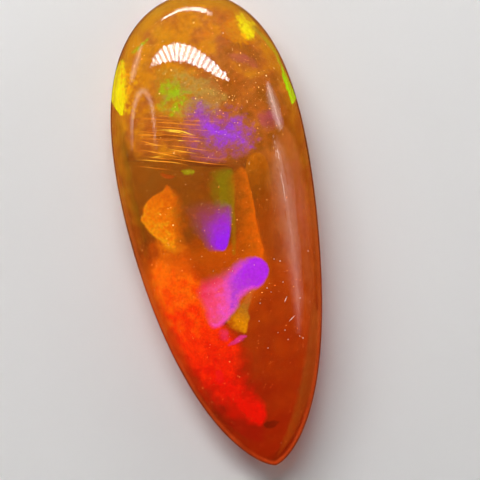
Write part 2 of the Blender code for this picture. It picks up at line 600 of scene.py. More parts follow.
# %% Work out how strong each flash must glow
THROUGH_POLISH = 0.95


def skin_tint_at(y):
    levels = [stop[0] for stop in TINT_STOPS]
    return [float(np.interp(y, levels, [stop[1][part] for stop in TINT_STOPS])) for part in range(3)]


def glow_needed(seen, across, down, depth):
    y = from_picture(across, down)[1]
    glow = []
    for part, tint, absorbed in zip(seen, skin_tint_at(y), ABSORBED_TINT):
        honey_left = math.exp(-(1 - absorbed) * ABSORPTION * depth * MM)
        glow.append(part / (THROUGH_POLISH * math.sqrt(tint) * honey_left))
    return glow


def flash_finish(name, seen, at, depth, grain_size=0.3, speckle=0.09, drift=0.3, dapple=0.3,
                 ragged=0.5, patchy=0.1, density=(1.0, 1.0), boost=1.0):
    finish, tree, shader = new_finish(name)
    glows = [glow_needed(light(*colour), at[0], at[1], depth) for colour in seen]
    strength = max(max(glow) for glow in glows)
    start, middle, end = [(*[part / strength for part in glow], 1) for glow in glows]
    colour = use_group(tree, play_of_colour, Start=start, Middle=middle, End=end, Grain_Size=grain_size,
                       Speckle_Size=speckle, Drift=drift, Dapple=dapple)
    edge = use_group(tree, melting_edge, Grain_Size=grain_size, Ragged=ragged, Patchy=patchy,
                     Start_Density=density[0], End_Density=density[1])
    shader.inputs["Base Color"].default_value = (0, 0, 0, 1)
    shader.inputs["Specular IOR Level"].default_value = 0.0
    shader.inputs["Roughness"].default_value = 1.0
    shader.inputs["Emission Strength"].default_value = strength * boost
    tree.links.new(colour.outputs["Colour"], shader.inputs["Emission Color"])
    tree.links.new(edge.outputs["Density"], shader.inputs["Alpha"])
    return finish


print("violet seen as 0.88 blue must glow at", round(glow_needed(light(150, 0, 255), 222, 237, 0.35)[2], 1))

# %% [markdown]
# Each flash below is one call: its outline, the three colours seen along its sweep, its depth, the sweep's
# two ends, and how its edge breaks. Trying a flash is then a matter of changing one line and looking again.

# %% One call for a whole flash
def flash(name, outline, seen, depth, sweep, step=0.8, band=None, melt=1.0, **edge_and_grain):
    at = np.array(outline)[:, :2].mean(0)
    finish = flash_finish(name + "_light", seen, at, depth, **edge_and_grain)
    sheet_inside(name, outline, depth, finish, sweep, step, band, melt)


print("each flash is a sheet", SHEET_THICKNESS, "mm thick")

# %% [markdown]
# Under the flashes the rough is laid in wide cloudy beds: mottled gold, pink and olive above a faint
# straight boundary, smoky brown and warm orange below it, and plain amber towards the point. Each bed is a
# wide soft sheet, deep enough that the flashes ride over it when the stone is turned. Narrower and
# shallower sheets tint the flanks: milky and ochre on the right, olive on the upper left and dark red on
# the lower left.

# %% The cloudy beds
GOLDEN_BED = (
    (144, 14, 10), (164, 5, 8), (190, 0, 7), (226, 2, 7), (256, 16, 8), (276, 42, 8), (296, 90, 9),
    (306, 140, 16), (306, 172, 24), (240, 176, 26), (180, 166, 20), (130, 160, 14), (114, 112, 8),
    (120, 56, 8),
)
flash("golden_bed", GOLDEN_BED, ((236, 146, 6), (204, 104, 34), (168, 82, 8)), 0.95, ((140, 40),
      (285, 150)), step=3.0, grain_size=0.8, speckle=0.2, drift=0.94, dapple=0.24, patchy=0.2,
      density=(0.85, 0.8))
BROWN_BED = (
    (119, 163, 3), (150, 160, 1.5), (180, 163, 1.5), (210, 166, 1.5), (234, 168, 2), (246, 190, 14),
    (246, 230, 20), (236, 268, 26), (210, 286, 30), (180, 276, 26), (152, 262, 20), (138, 240, 14),
    (127, 208, 10), (120, 182, 8),
)
flash("brown_bed", BROWN_BED, ((156, 76, 4), (148, 68, 3), (186, 74, 0)), 0.9, ((150, 165), (205, 270)),
      step=2.5, grain_size=0.6, speckle=0.2, drift=0.6, dapple=0.2, ragged=0.3, patchy=0.2,
      density=(0.7, 0.75))
WARM_BED = (
    (172, 246, 22), (204, 234, 22), (228, 236, 14), (238, 216, 12), (256, 212, 6), (264, 240, 3),
    (272, 264, 8), (270, 292, 18), (252, 318, 20), (222, 326, 20), (192, 310, 22), (174, 280, 22),
)
flash("warm_bed", WARM_BED, ((196, 76, 0), (208, 80, 0), (232, 94, 0)), 0.85, ((180, 250), (262, 236)),
      step=2.0, grain_size=0.5, speckle=0.12, drift=0.4, dapple=0.2, ragged=0.3, patchy=0.2,
      density=(0.85, 0.9))
AMBER_BED = (
    (250, 240, 28), (288, 250, 20), (306, 270, 14), (315, 310, 10), (314, 350, 9), (306, 396, 8),
    (294, 434, 7), (272, 461, 6), (246, 450, 8), (222, 424, 16), (200, 386, 22), (192, 340, 22),
    (200, 300, 24), (220, 272, 26),
)
flash("amber_bed", AMBER_BED, ((188, 60, 0), (172, 46, 0), (164, 32, 0)), 0.95, ((275, 265), (268, 440)),
      step=2.5, grain_size=0.7, speckle=0.2, drift=0.5, dapple=0.15, ragged=0.3, patchy=0.15,
      density=(0.85, 0.92))
FLANK_BED = (
    (280, 122, 14), (298, 136, 9), (309, 176, 7), (315, 215, 7), (319, 255, 7), (319, 300, 7),
    (313, 345, 14), (298, 350, 18), (278, 300, 20), (266, 240, 18), (262, 195, 14), (266, 155, 12),
)
flash("flank_bed", FLANK_BED, ((196, 98, 44), (194, 92, 40), (184, 68, 14)), 0.6, ((288, 150), (300, 320)),
      step=2.0, grain_size=0.6, speckle=0.15, drift=0.6, dapple=0.2, ragged=0.3, patchy=0.2,
      density=(0.75, 0.75))

OCHRE_FLANK = (
    (312, 300, 6), (320, 312, 3), (320, 340, 3), (316, 376, 3), (306, 412, 3), (290, 444, 3), (274, 462, 4),
    (278, 446, 6), (290, 414, 6), (299, 376, 7), (306, 338, 7),
)
flash("ochre_flank", OCHRE_FLANK, ((186, 92, 34), (164, 78, 18), (176, 72, 8)), 0.35, ((314, 310),
      (284, 445)), step=1.3, grain_size=0.5, drift=0.6, ragged=0.4, patchy=0.2, density=(0.7, 0.75))
OLIVE_FLANK = (
    (113, 124, 6), (124, 120, 8), (131, 150, 8), (137, 190, 8), (147, 226, 9), (154, 256, 9), (142, 258, 7),
    (131, 225, 4), (121, 190, 4), (115, 155, 4),
)
flash("olive_flank", OLIVE_FLANK, ((168, 104, 8), (142, 98, 4), (150, 62, 2)), 0.4, ((120, 125),
      (148, 252)), step=1.3, grain_size=0.5, drift=0.6, patchy=0.3, density=(0.6, 0.7))
DARK_FLANK = (
    (160, 330, 6), (172, 356, 5), (188, 384, 5), (206, 408, 5), (228, 434, 5), (250, 454, 5), (268, 462, 5),
    (262, 444, 8), (236, 428, 9), (212, 404, 9), (192, 376, 9), (172, 342, 8),
)
flash("dark_flank", DARK_FLANK, ((196, 36, 2), (164, 12, 2), (160, 26, 0)), 0.45, ((164, 335), (255, 450)),
      step=1.3, grain_size=0.5, drift=0.5, patchy=0.2, density=(0.6, 0.9))

# %% [markdown]
# All round the stone runs a painted glow: a brighter band just inside the girdle stands in for light that
# has bounced along the rim and comes out again, and right at the edge a hair-thin painted highlight. Both
# are glowing rings cut from the stone's own outline, soft on their inner side.

# %% The painted glow band and painted highlight inside the rim
RIM_GLOW_INSET = 0.06
RIM_GLOW_BAND = 14
GLINT_INSET = 0.03
GLINT_BAND = 5
RIM_LIGHT_SOFTNESS = 1.2
for name, inset, band, depth, seen, density in (
    # painted glow of light bounced along the rim, a glowing sheet rather than the stone's own colour
    ("painted_rim_glow", RIM_GLOW_INSET, RIM_GLOW_BAND, 0.22, ((208, 128, 14), (186, 80, 8), (160, 44, 2)), (0.75, 0.5)),
    # painted highlight along the very edge of the stone
    ("painted_rim_glint", GLINT_INSET, GLINT_BAND, 0.1, ((210, 130, 30), (214, 104, 44), (226, 96, 30)), (0.4, 0.7)),
):
    edge = [drop_point(turn, 1.0, inset) for turn in turns[::3]]
    ring = [(*to_picture(x - CENTRE_X, y), RIM_LIGHT_SOFTNESS) for x, y in edge]
    flash(name, ring, seen, depth, ((200, 20), (262, 400)), step=1.5, band=band, grain_size=0.5,
          speckle=0.15, drift=0.4, dapple=0.2, ragged=0.3, patchy=0.35, density=density)

# %% [markdown]
# Right of the boundary stands an upright orange column with one crisp side, and beside it a darker
# thumb-shaped layer. A thin olive streak marks the joint between the brown bed and the column.

# %% The orange column, the thumb and the olive streak
ORANGE_COLUMN = (
    (226, 172, 12), (238, 163, 8), (247, 168, 4), (250.5, 185, 1.8), (252.5, 193, 1.5), (255.5, 207, 1.5),
    (258, 224, 1.5), (261.5, 239, 1.5), (265, 253, 2), (262, 268, 14), (246, 272, 20), (228, 262, 22),
    (222, 236, 20), (222, 208, 18), (222, 186, 14),
)
flash("orange_column", ORANGE_COLUMN, ((172, 82, 0), (206, 96, 2), (255, 108, 0)), 0.55, ((228, 216),
      (259, 211)), step=1.5, grain_size=0.35, drift=0.5, patchy=0.25, density=(0.5, 1.0))
THUMB = (
    (244, 166, 3), (248, 156, 3), (256, 151, 3), (266, 155, 3), (272, 170, 4), (275, 193, 5),
    (278.5, 216, 7), (281, 239, 10), (283, 262, 18), (276, 282, 22), (264, 276, 14), (258, 246, 3),
    (253.5, 220, 2), (249, 192, 2), (245, 176, 2),
)
flash("thumb", THUMB, ((204, 100, 0), (158, 70, 0), (184, 74, 2)), 0.72, ((257, 152), (272, 225)), step=1.5,
      grain_size=0.4, ragged=0.3, patchy=0.2, density=(0.9, 0.7))
OLIVE_STREAK = (
    (210, 168, 14), (230, 166, 6), (236, 178, 3), (236, 205, 2.5), (237, 222, 2.5), (237, 254, 3),
    (231, 254, 3), (229, 230, 5), (220, 224, 12), (208, 216, 20), (203, 196, 24), (203, 178, 22),
)
flash("olive_streak", OLIVE_STREAK, ((136, 122, 0), (146, 136, 0), (188, 106, 0)), 0.7, ((226, 172),
      (233, 250)), step=0.9, ragged=0.4, patchy=0.35, density=(0.9, 0.8))

# %% [markdown]
# The largest flash is a band of fire down the left flank, orange at the top and pure red further down, with
# a wide dark red glow under it. Two sheets at two depths keep the hot core apart from the glow behind it.

# %% The ember band and its glow
EMBER_GLOW = (
    (152, 236, 10), (176, 244, 14), (200, 252, 20), (222, 280, 22), (236, 316, 22), (252, 338, 22),
    (264, 372, 24), (272, 404, 20), (272, 430, 14), (264, 446, 9), (246, 442, 6), (224, 424, 4),
    (201, 399, 3), (180, 369, 3), (161, 335, 3), (146, 302, 3), (136, 270, 8), (138, 246, 14),
)
flash("ember_glow", EMBER_GLOW, ((204, 66, 0), (200, 32, 0), (164, 10, 2)), 0.8, ((160, 245), (225, 415)),
      step=2.0, grain_size=0.5, patchy=0.2, density=(0.75, 0.9))
EMBER_BAND = (
    (168, 248, 10), (182, 252, 16), (196, 262, 20), (208, 278, 16), (216, 292, 12), (222, 308, 12),
    (228, 322, 12), (240, 333, 14), (250, 342, 22), (255, 354, 32), (258, 370, 36), (262, 386, 28),
    (268, 398, 16), (270.5, 408, 10), (270, 419, 7), (262, 429, 7), (250, 429, 14), (236, 428, 26),
    (216, 420, 34), (195, 404, 34), (178, 380, 28), (164, 354, 24), (153, 327, 20), (142, 300, 18),
    (137, 282, 18), (142, 264, 18), (155, 252, 14),
)
flash("ember_band", EMBER_BAND, ((255, 100, 2), (255, 44, 0), (236, 4, 2)), 0.65, ((182, 262), (228, 385)),
      step=1.3, grain_size=0.4, speckle=0.08, drift=0.45, dapple=0.35, patchy=0.12, boost=1.18)
CRIMSON_SPOT = ((214, 371, 4), (220, 368, 4), (226, 374, 4), (225, 383, 4), (219, 386, 4), (214, 380, 4))
flash("crimson_spot", CRIMSON_SPOT, ((255, 0, 30), (255, 0, 24), (250, 0, 16)), 0.55, ((215, 370),
      (224, 384)), step=0.9, grain_size=0.12, speckle=0.05, ragged=1.2, patchy=0.3, density=(0.85, 0.7))

# %% [markdown]
# Above the band sits an amber kite, crisp on the side where its layer breaks off and melting on the other.
# A soft orange bridge joins it to the band.

# %% The amber kite
AMBER_KITE = (
    (165, 184.5, 3), (160.6, 190, 3), (152.5, 194.5, 3), (146.5, 200, 3), (141.9, 207, 3), (141.5, 213, 3),
    (139, 220, 3), (143.5, 227, 3), (148, 233.5, 3), (154, 238.6, 3), (159, 243, 4), (165, 253, 10),
    (178, 259, 18), (188, 246, 24), (193, 224, 28), (192, 206, 26), (186, 194, 20), (176, 187, 10),
    (169, 184.5, 4),
)
flash("amber_kite", AMBER_KITE, ((232, 98, 0), (255, 124, 2), (255, 164, 14)), 0.4, ((182, 200),
      (146, 236)), step=1.1, grain_size=0.22, drift=0.7, dapple=0.32, density=(0.9, 1.0), boost=1.05)
EMBER_BRIDGE = (
    (152, 232, 8), (166, 226, 14), (184, 230, 18), (200, 250, 20), (198, 276, 20), (178, 284, 18),
    (158, 266, 12), (154, 248, 8),
)
flash("ember_bridge", EMBER_BRIDGE, ((240, 112, 4), (222, 88, 2), (240, 88, 0)), 0.55, ((162, 236),
      (178, 272)), step=1.1, drift=0.6, ragged=0.7, patchy=0.3, density=(0.9, 0.95))

# %% [markdown]
# Two violet flashes lie over the middle. The claw is a mauve haze that gathers into one saturated core at
# its tip. The boot turns from violet at the toe through lavender to hot pink at the heel, with a crimson
# lobe on its left, so it is built up from a pink underlayer and a violet layer over it. An ochre notch and
# a magenta lens finish it below.

# %% The violet claw and the boot
CLAW_HAZE = (
    (174, 204, 20), (196, 196, 18), (217, 196, 18), (233, 202, 12), (234, 216, 5), (232.5, 228, 4),
    (230.5, 239, 3), (227, 249, 4), (219, 254, 7), (207, 252, 12), (194, 240, 18), (182, 224, 22),
)
flash("claw_haze", CLAW_HAZE, ((150, 62, 50), (156, 52, 104), (160, 36, 190)), 0.55, ((186, 210),
      (222, 236)), step=1.2, drift=0.4, dapple=0.2, patchy=0.15, density=(0.6, 1.0))
CLAW_CORE = (
    (200, 214, 22), (217, 205, 22), (231, 208, 14), (232, 228, 4), (230, 239, 3), (228, 248, 3),
    (222, 253, 5), (211, 251, 12), (202, 240, 20), (196, 226, 24),
)
flash("claw_core", CLAW_CORE, ((160, 44, 160), (160, 20, 226), (152, 0, 255)), 0.4, ((208, 216),
      (223, 240)), step=0.9, grain_size=0.2, drift=0.4, dapple=0.2, density=(0.6, 1.0), boost=1.12)
BOOT_PINK = (
    (250, 256, 6), (264, 260, 3), (269, 272, 3), (263, 287, 3), (249, 295, 4), (242, 301, 3), (240, 308, 3),
    (234, 317, 3), (227, 324, 3), (220, 329.5, 3), (213, 330.5, 3), (206, 326, 4), (202.5, 315, 5),
    (198.5, 305, 5), (193.5, 296, 6), (194.5, 285, 7), (201, 276, 9), (211, 270, 10), (222, 266, 10),
    (232, 259, 9), (241, 255, 8),
)
flash("boot_pink", BOOT_PINK, ((244, 40, 84), (255, 72, 128), (255, 84, 205)), 0.5, ((199, 298),
      (230, 306)), step=1.1, melt=1.8, speckle=0.1, drift=0.5, dapple=0.15, ragged=0.4)
BOOT_VIOLET = (
    (252.6, 254, 4), (260.5, 256.4, 2), (267.5, 262.7, 1.5), (270, 270.6, 1.5), (267.6, 279.3, 2),
    (260.5, 289, 3), (252, 293, 6), (245, 299, 7), (241, 307, 4), (234, 316, 5), (226, 319, 7),
    (220, 306, 10), (218, 292, 11), (220, 277, 10), (229, 266, 9), (238, 258, 8), (246.5, 254.1, 6),
)
flash("boot_violet", BOOT_VIOLET, ((255, 88, 214), (184, 56, 224), (184, 22, 252)), 0.35, ((218, 314),
      (250, 276)), step=1.0, melt=1.7, grain_size=0.22, speckle=0.1, drift=0.6, dapple=0.2, ragged=0.4,
      density=(0.7, 1.0))
HEEL = ((210, 316, 4), (218, 312, 5), (226, 314, 4), (224, 320, 3), (217, 326, 2.5), (211, 324, 3))
flash("boot_heel", HEEL, ((255, 72, 100), (255, 84, 140), (255, 96, 170)), 0.3, ((210, 320), (226, 316)),
      melt=1.6, grain_size=0.15, ragged=1.0, density=(0.8, 0.8))
OCHRE_NOTCH = (
    (259, 284, 5), (255, 296, 3), (251.5, 305, 2), (249.5, 311, 2), (251.5, 317.5, 2), (249.5, 324, 2),
    (247.5, 334, 2), (240, 336, 5), (228, 330, 8), (221, 319, 9), (228, 308, 9), (236, 298, 8),
    (246, 288, 7),
)
flash("ochre_notch", OCHRE_NOTCH, ((214, 100, 40), (184, 116, 30), (240, 146, 0)), 0.45, ((252, 296),
      (243, 322)), step=0.9, melt=1.6, grain_size=0.16, ragged=0.7, density=(0.8, 0.95))
MAGENTA_LENS = (
    (226, 345, 2), (236.5, 336, 2), (244.5, 333.5, 2), (248, 337, 2), (240.5, 343, 2), (230.4, 347, 2),
)
flash("magenta_lens", MAGENTA_LENS, ((238, 40, 110), (240, 50, 140), (236, 50, 150)), 0.45, ((228, 345),
      (246, 335)), step=0.7, melt=1.6, grain_size=0.12, ragged=0.8)
PINK_WISP = ((216, 330, 7), (224, 326, 6), (232, 332, 7), (231, 342, 7), (220, 343, 7))
flash("pink_wisp", PINK_WISP, ((236, 30, 90), (240, 40, 110), (238, 30, 80)), 0.5, ((220, 336), (230, 338)),
      grain_size=0.12, speckle=0.05, ragged=1.0, density=(0.6, 0.6))

# %% [markdown]
# Higher up, a loose cluster of violet flecks drifts across the stone with a faint violet haze round it. The
# cluster is one sheet whose finish is very patchy, which reads better than dozens of separate dots, and a
# smaller sheet over it makes its heart purer. Two faint rose patches lie above and beside it.

# %% The violet cluster, its haze and the rose patches
VIOLET_HAZE = (
    (176, 100, 24), (198, 90, 22), (218, 96, 22), (244, 102, 22), (262, 122, 18), (264, 144, 14),
    (248, 158, 12), (222, 168, 14), (198, 168, 14), (178, 154, 18), (172, 128, 22),
)
flash("violet_haze", VIOLET_HAZE, ((184, 80, 90), (172, 66, 160), (186, 80, 84)), 0.7, ((190, 155),
      (250, 120)), step=1.2, drift=1.4, ragged=1.2, patchy=0.6, density=(0.8, 0.8))
VIOLET_CLUSTER = (
    (186, 98, 20), (199, 94, 18), (210, 100, 18), (219, 111, 18), (234, 109, 20), (248, 116, 20),
    (258, 136, 18), (258, 152, 16), (245, 156, 18), (228, 156, 19), (211, 154, 18), (198, 144, 18),
    (190, 130, 18), (182, 116, 19),
)
flash("violet_cluster", VIOLET_CLUSTER, ((172, 58, 190), (168, 34, 252), (174, 60, 214)), 0.4, ((190, 108),
      (236, 138)), step=0.9, melt=1.25, grain_size=0.24, speckle=0.1, drift=1.2, dapple=0.35, ragged=1.1,
      patchy=0.7)
VIOLET_HEART = (
    (200, 124, 8), (206, 119, 7), (213, 121, 7), (220, 127, 8), (232, 128, 9), (240, 134, 9), (234, 142, 9),
    (220, 140, 9), (206, 136, 8),
)
flash("violet_heart", VIOLET_HEART, ((170, 30, 255), (176, 50, 255), (180, 70, 240)), 0.35, ((204, 126),
      (238, 136)), grain_size=0.2, speckle=0.1, drift=0.8, ragged=1.6, patchy=0.4, density=(1.0, 0.8))
ROSE_HAZE = ((226, 50, 8), (245, 50, 8), (262, 62, 8), (258, 72, 8), (240, 66, 8), (226, 60, 8))
flash("rose_haze", ROSE_HAZE, ((200, 92, 84), (196, 88, 96), (190, 90, 60)), 0.6, ((228, 52), (258, 68)),
      step=1.2, grain_size=0.35, speckle=0.1, ragged=0.8, patchy=0.5, density=(0.6, 0.6))
ROSE_SPOT = ((254, 112, 8), (270, 106, 10), (286, 116, 8), (284, 130, 10), (268, 134, 10), (256, 126, 8))
flash("rose_spot", ROSE_SPOT, ((190, 78, 80), (182, 72, 92), (184, 76, 60)), 0.6, ((256, 110), (284, 128)),
      step=1.2, speckle=0.1, ragged=0.8, patchy=0.5, density=(0.65, 0.65))

# %% [markdown]
# Yellow and green flashes catch the light round the rim: a pointed lemon blade on the left, a small crown
# at the top, a green sliver on the right, and greener drops under the dome. They lie shallow, close to the
# skin, and their edges crumble into separate flecks.

# %% The lemon, green and lime flashes near the rim
LEMON = (255, 250, 0)
LEMON_BLADE = (
    (120, 57, 5), (116, 66, 3), (113, 78, 2.5), (110.6, 94, 2), (110.8, 102, 2), (120.7, 117, 3),
    (130, 112, 16), (136, 98, 20), (136, 84, 20), (133, 72, 14), (129, 62, 8), (125, 57, 6),
)
flash("lemon_blade", LEMON_BLADE, ((246, 160, 0), (255, 236, 0), LEMON), 0.2, ((134, 90), (117, 94)),
      step=0.6, grain_size=0.2, drift=1.0, dapple=0.25, ragged=1.8, patchy=0.25, boost=1.15)
BLADE_MOTTLE = (
    (120, 60, 10), (138, 62, 14), (152, 84, 16), (150, 108, 14), (134, 122, 10), (120, 110, 8),
    (116, 84, 8),
)
flash("blade_mottle", BLADE_MOTTLE, ((250, 180, 0), (236, 140, 10), (210, 112, 20)), 0.32, ((120, 92),
      (144, 92)), grain_size=0.2, drift=1.3, dapple=0.35, ragged=1.4, patchy=0.5, density=(1.0, 0.9))
LEMON_CROWN = (
    (232, 10, 12), (244, 9, 10), (252, 16, 10), (259, 23, 9), (260, 36, 9), (252, 43, 9), (242, 42, 10),
    (235, 33, 12), (231, 20, 12),
)
flash("lemon_crown", LEMON_CROWN, ((255, 180, 0), LEMON, (250, 225, 0)), 0.25, ((236, 32), (250, 24)),
      step=0.6, grain_size=0.2, drift=0.9, dapple=0.25, ragged=1.8, patchy=0.25, boost=1.1)
CROWN_FRINGE = ((216, 22, 14), (232, 8, 14), (254, 16, 12), (262, 42, 12), (246, 52, 14), (222, 44, 14))
flash("crown_fringe", CROWN_FRINGE, ((226, 120, 10), (240, 150, 0), (220, 120, 10)), 0.35, ((224, 30),
      (252, 32)), step=0.9, grain_size=0.14, drift=0.8, ragged=2.0, patchy=0.4, density=(0.9, 0.95))
GREEN_SLIVER = (
    (280, 60, 2), (284.5, 69, 1.5), (289.5, 80, 1.2), (294.5, 92, 1.2), (296.5, 99, 1.2), (292, 105, 2),
    (288.5, 97, 3), (285, 88, 3), (281, 75, 3),
)
flash("green_sliver", GREEN_SLIVER, ((150, 205, 0), (160, 232, 0), (176, 240, 0)), 0.18, ((282, 68),
      (294, 98)), step=0.7, grain_size=0.15, drift=0.5, ragged=1.2, boost=1.2)
RIM_LINE = (
    (252, 23, 3), (262.8, 32, 2), (270.5, 40.5, 1.5), (278, 52, 1.5), (282, 63, 2), (279, 65, 2),
    (274.5, 55, 2), (267, 45, 2), (259.5, 36.5, 2), (251, 29, 3),
)
flash("rim_line", RIM_LINE, ((176, 150, 50), (184, 196, 20), (176, 214, 0)), 0.15, ((255, 28), (280, 62)),
      step=0.7, grain_size=0.15, speckle=0.06, drift=0.6, ragged=1.0, patchy=0.5, density=(0.5, 0.9))
GREEN_HAZE = (
    (152, 66, 14), (174, 60, 14), (198, 68, 14), (220, 78, 14), (232, 98, 14), (222, 116, 14),
    (198, 120, 14), (176, 124, 14), (158, 120, 14), (148, 92, 14),
)
flash("green_haze", GREEN_HAZE, ((204, 132, 20), (196, 158, 72), (196, 140, 64)), 0.7, ((156, 84),
      (222, 90)), step=1.4, speckle=0.08, drift=1.4, ragged=1.2, patchy=0.5, density=(0.85, 0.8))
GREEN_DROP = (
    (154, 74, 20), (175, 70, 20), (193, 80, 20), (198, 102, 20), (190, 120, 18), (172, 125, 18),
    (156, 116, 18), (150, 96, 20),
)
flash("green_drop", GREEN_DROP, ((160, 214, 0), (184, 186, 10), (206, 140, 16)), 0.45, ((171, 96),
      (190, 116)), melt=1.3, grain_size=0.26, drift=1.3, ragged=0.9, patchy=0.5, density=(1.0, 0.7))
GREEN_GLINT = ((179, 170, 4), (187, 167.5, 4), (196, 170, 4), (194, 176, 4), (184, 176.5, 4))
flash("green_glint", GREEN_GLINT, ((160, 150, 0), (176, 172, 10), (160, 140, 10)), 0.45, ((181, 172),
      (194, 172)), step=0.7, grain_size=0.14, drift=0.8, ragged=0.9, patchy=0.4, density=(0.9, 0.9))
LIME_STREAK = ((129, 52, 4), (138, 43, 5), (148, 36, 4), (151, 40, 4), (143, 48, 5), (134, 56, 4))
flash("lime_streak", LIME_STREAK, ((180, 180, 20), (170, 204, 20), (190, 160, 30)), 0.3, ((131, 52),
      (149, 38)), grain_size=0.18, drift=0.8, ragged=1.0, patchy=0.4)
print(len(pieces) - 1, "flashes hang in the stone")

# %% [markdown]
# Fine, nearly parallel growth lines cross the upper part of the stone, left from when the rough was laid
# down in thin beds. They shine like stretched threads, so each is a slim tapered tube along a smooth path
# inside. A texture of lines would lie flat on the skin, while threads at a depth shift as the stone is
# turned. The brighter lines were traced, each with its radius and its place in the colour sweep, and
# fainter ones are laid between them by a seeded throw of dice.

# %% Draw the growth lines as threads inside the stone
THREAD_SIDES = 6
THREAD_TAPER = 0.35
THREAD_END = 0.25


def smooth_path(points, steps=8):
    points = np.array(points, float)
    path = np.array([2 * points[0] - points[1], *points, 2 * points[-1] - points[-2]])
    dense = [curve_between(path[place:place + 4], steps) for place in range(len(points) - 1)]
    return np.concatenate([*dense, path[-2:-1]])


def add_thread(skin, centres, radius, shade):
    fade = skin.verts.layers.float.get("fade") or skin.verts.layers.float.new("fade")
    sweep_share = skin.verts.layers.float.get("sweep") or skin.verts.layers.float.new("sweep")
    rings = []
    last = len(centres) - 1
    for place, centre in enumerate(centres):
        ahead = centres[min(place + 1, last)] - centres[max(place - 1, 0)]
        side = ahead.cross(Vector((0, 0, 1))).normalized()
        upward = side.cross(ahead).normalized()
        share = place / last
        ends = min(1.0, share / THREAD_TAPER, (1 - share) / THREAD_TAPER)
        thick = radius * MM * (THREAD_END + (1 - THREAD_END) * ends)
        ring = []
        for turn in range(THREAD_SIDES):
            angle = 2 * math.pi * turn / THREAD_SIDES
            vert = skin.verts.new(centre + thick * (math.cos(angle) * side + math.sin(angle) * upward))
            vert[fade] = ends
            vert[sweep_share] = shade
            ring.append(vert)
        rings.append(ring)
    for ring, following in zip(rings, rings[1:]):
        for turn in range(THREAD_SIDES):
            beside = (turn + 1) % THREAD_SIDES
            skin.faces.new((ring[turn], ring[beside], following[beside], following[turn]))
    skin.faces.new(rings[0][::-1])
    skin.faces.new(rings[-1])


def piece_from(skin, name, finish):
    bmesh.ops.recalc_face_normals(skin, faces=skin.faces[:])
    made = put_in_scene(name, skin, finish)
    pieces.append(made)
    print(name, "has", len(made.data.polygons), "faces")


GROWTH_LINES = (
    (((150, 130.6), (165, 130), (180, 131), (190, 134), (197, 135.5)), 0.024, 1.0),
    (((163, 131.6), (175, 131.8), (187, 134.2)), 0.020, 1.0),
    (((155, 122.5), (168, 122), (183, 124)), 0.012, 0.3),
    (((155, 116.5), (163, 116), (172, 117.4)), 0.012, 0.2),
    (((137, 140), (145, 142), (153, 144), (165, 145)), 0.015, 0.6),
    (((164, 148), (176, 150.4), (186.5, 152), (202, 154.6)), 0.016, 0.7),
    (((135, 149.6), (144, 150.4), (156, 152.7), (167, 154.6), (179, 157.3), (194, 161)), 0.016, 0.6),
    (((130, 158), (142, 160), (156, 161), (171, 162), (183, 164), (190, 165.3)), 0.016, 0.7),
    (((176.6, 158.8), (186.5, 160.7), (202, 162.6), (217, 164.2), (238, 165)), 0.016, 0.5),
    (((152, 157), (157, 156.8), (163.6, 157)), 0.012, 0.9),
    (((176, 141), (181, 140.6), (186.5, 141)), 0.016, 0.95),
    (((192, 141), (197, 141), (202, 141.4)), 0.012, 0.8),
)
FAINT_LINES = 34
FAINT_STARTS = (126, 186)
FAINT_ROWS = (114, 166)
FAINT_LENGTHS = (16, 58)
THREAD_COLOURS = ((206, 108, 24), (244, 146, 36), (255, 206, 60))
thread_finish = flash_finish("growth_line_light", THREAD_COLOURS, (175, 145), 0.4, drift=0.4, ragged=0.0,
                             patchy=0.4, boost=1.6)
dice = np.random.default_rng(20)
lines = list(GROWTH_LINES)
for _ in range(FAINT_LINES):
    start, down = dice.uniform(*FAINT_STARTS), dice.uniform(*FAINT_ROWS)
    length = dice.uniform(*FAINT_LENGTHS)
    slope = 0.06 + 0.07 * (down - FAINT_ROWS[0]) / (FAINT_ROWS[1] - FAINT_ROWS[0])
    bend = dice.uniform(-0.6, 0.6)
    course = [(start + length * part, down + slope * length * part + bend * math.sin(math.pi * part))
              for part in (0, 0.33, 0.67, 1)]
    lines.append((course, dice.uniform(0.008, 0.013), dice.uniform(0.0, 0.6)))
threads = bmesh.new()
for points, radius, shade in lines:
    line_depth = dice.uniform(0.35, 0.5)
    centres = [inside(across, down, line_depth) for across, down in smooth_path(points)]
    add_thread(threads, centres, radius, shade)
piece_from(threads, "growth_lines", thread_finish)

# %% [markdown]
# Between the bright lines lies a dark reddish bed, under the boundary a small dull red wedge, and near the
# point a small dark fleck. They hold light back, so their glow is low and their sheets cover what lies
# below.

# %% The dark beds and the fleck near the point
DARK_BED = ((154, 134, 3), (168, 133.5, 2), (182, 135.5, 2), (184, 138.5, 2), (168, 139, 2), (155, 139, 3))
flash("dark_bed", DARK_BED, ((150, 60, 4), (145, 52, 4), (150, 60, 4)), 0.6, ((155, 136), (184, 137)),
      grain_size=0.15, ragged=0.8, density=(0.75, 0.75))
RED_WEDGE = ((159, 172, 2), (168, 173.5, 2), (177, 176, 1.5), (170, 180, 2), (162, 178, 2))
flash("red_wedge", RED_WEDGE, ((190, 70, 0), (200, 62, 0), (185, 66, 0)), 0.5, ((160, 175), (176, 177)),
      grain_size=0.1, ragged=0.9, density=(0.7, 0.7))
DARK_FLECK = ((262, 423, 3), (271, 419, 3), (280, 421, 3), (276, 428, 3), (266, 430, 3))
flash("dark_fleck", DARK_FLECK, ((96, 8, 0), (86, 4, 0), (100, 10, 0)), 0.5, ((265, 425), (278, 424)),
      step=0.7, grain_size=0.15, ragged=1.0, density=(0.7, 0.5))

# %% [markdown]
# Precious opal sparkles with pinfire: tiny single flakes that each throw one colour. They are too small to
# trace, so they are scattered by a seeded throw of dice, each a flat six-sided flake lying at its own tilt.
# A share of them gathers in a golden dusting at the upper right, and those near the red point are duller.

